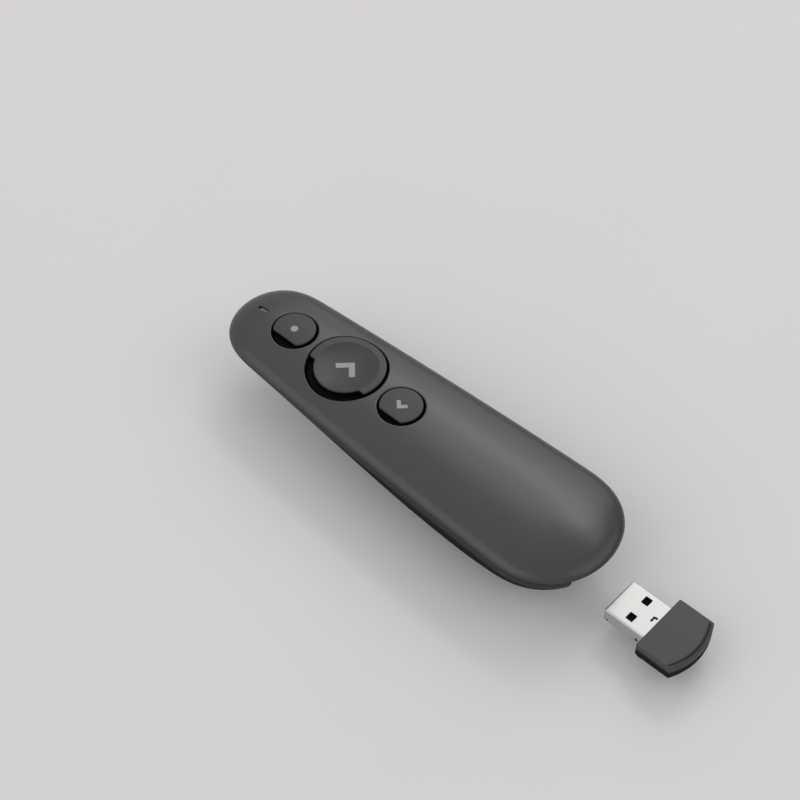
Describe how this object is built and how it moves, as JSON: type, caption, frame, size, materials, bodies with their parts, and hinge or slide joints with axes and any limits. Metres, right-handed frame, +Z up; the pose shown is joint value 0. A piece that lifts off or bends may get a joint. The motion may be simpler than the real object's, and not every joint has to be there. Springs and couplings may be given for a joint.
{
  "type": "wireless presentation clicker",
  "caption": "Handheld presentation clicker: egg-shaped matt body, round push buttons on its domed deck, and a USB receiver that slides out of the tail.",
  "frame": {"origin": "middle of the flat face on the belly that the clicker rests on", "axes": "+Y from the tail to the head where the laser leaves, +Z up through the button deck, +X to the right"},
  "size_m": [0.0392, 0.1606, 0.0247],
  "materials": {
    "deck_plastic": "fine matt texture",
    "belly_plastic": "fine matt texture",
    "button_plastic": "fine matt texture",
    "skirt_plastic": "smooth matt",
    "receiver_plastic": "fine matt texture",
    "plug_sheet": "bright satin nickel plate",
    "tongue_plastic": "moulded",
    "contact_gold": "gold flash",
    "spring_steel": "nickel plate",
    "cell_can": "plain wrapped can, bare ends",
    "board_green": "solder resist",
    "chip_black": "moulded",
    "screw_steel": "zinc plate",
    "switch_steel": "pressed sheet",
    "plunger_plastic": "smooth",
    "lamp_white": "clear dome on white",
    "pipe_clear": "clear moulding",
    "barrel_brass": "turned",
    "lens_glass": "polished",
    "window_smoke": "polished, dark red"
  },
  "bodies": {
    "body": {"top_shell": "deck_plastic", "bottom_shell": "belly_plastic", "dock_liner": "belly_plastic", "battery_tray": "belly_plastic", "battery_cell": "cell_can", "battery_spring": "spring_steel", "contact_negative": "spring_steel", "contact_positive": "spring_steel", "main_board": "board_green", "board_screws": "screw_steel", "radio_chip": "chip_black", "laser_switch": "switch_steel", "next_switch": "switch_steel", "back_switch": "switch_steel", "status_led": "lamp_white", "light_pipe": "pipe_clear", "laser_barrel": "barrel_brass", "laser_lens": "lens_glass", "laser_window": "window_smoke"},
    "laser_button": {"laser_cap": "button_plastic", "laser_skirt": "skirt_plastic", "laser_plunger": "plunger_plastic"},
    "next_button": {"next_cap": "button_plastic", "next_skirt": "skirt_plastic", "next_plunger": "plunger_plastic"},
    "back_button": {"back_cap": "button_plastic", "back_skirt": "skirt_plastic", "back_plunger": "plunger_plastic"},
    "receiver": {"receiver_cap": "receiver_plastic", "receiver_base": "receiver_plastic", "plug_shell": "plug_sheet", "plug_tongue": "tongue_plastic", "plug_contacts": "contact_gold", "receiver_board": "board_green"},
    "battery_door": {"battery_door": "belly_plastic"}
  },
  "joints": [
    {"name": "laser_press", "type": "slide", "parent": "body", "child": "laser_button", "axis": [0, 0, -1], "range_m": [0, 0.0005], "stiffness_N_per_m": 1200, "springref_m": -0.0005},
    {"name": "next_press", "type": "slide", "parent": "body", "child": "next_button", "axis": [0, 0, -1], "range_m": [0, 0.0005], "stiffness_N_per_m": 1200, "springref_m": -0.0005},
    {"name": "back_press", "type": "slide", "parent": "body", "child": "back_button", "axis": [0, 0, -1], "range_m": [0, 0.0005], "stiffness_N_per_m": 1200, "springref_m": -0.0005},
    {"name": "receiver_slide", "type": "slide", "parent": "body", "child": "receiver", "axis": [0, 1, 0], "range_m": [0, 0.036]},
    {"name": "door_hinge", "type": "hinge", "parent": "body", "child": "battery_door", "pos_m": [0, 0.0415, 0.00476], "axis": [1, 0, 0], "range_deg": [0, 75]}
  ]
}
